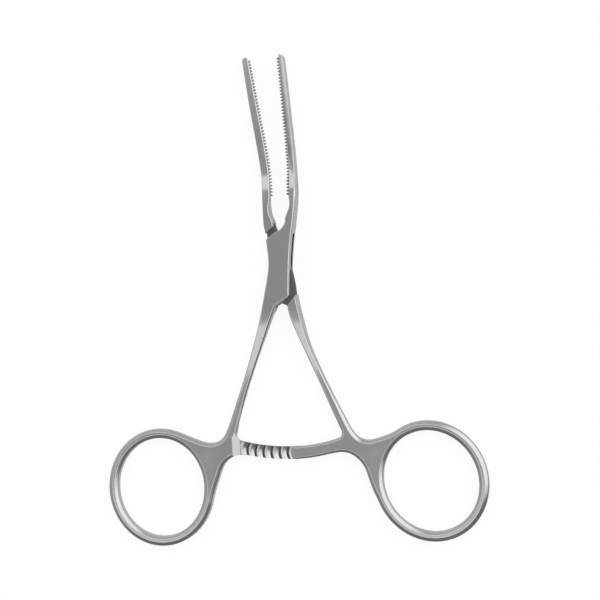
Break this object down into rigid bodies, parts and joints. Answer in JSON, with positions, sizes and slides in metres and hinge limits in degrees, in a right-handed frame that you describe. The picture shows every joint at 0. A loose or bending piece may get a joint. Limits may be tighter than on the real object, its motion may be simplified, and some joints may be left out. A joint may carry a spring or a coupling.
{
  "type": "atraumatic vascular clamp",
  "caption": "Small steel vascular clamp with slim toothed jaws, box lock, tapering shanks, finger rings and a ratchet, shown partly open.",
  "frame": {"origin": "on the hinge axis, at the back face of the box lock", "axes": "+Y along the clamp towards the jaw tips, +X to the right seen from the front, +Z out of the front face"},
  "size_m": [0.108, 0.1362, 0.005],
  "materials": {
    "satin_steel": "satin, bead blasted"
  },
  "bodies": {
    "box_arm": {"box_arm": "satin_steel", "pivot_pin": "satin_steel"},
    "tongue_arm": {"tongue_arm": "satin_steel"}
  },
  "joints": [
    {"name": "hinge", "type": "hinge", "parent": "box_arm", "child": "tongue_arm", "pos_m": [0, 0, 0.0025], "axis": [0, 0, 1], "range_deg": [-8.2, 60]}
  ]
}
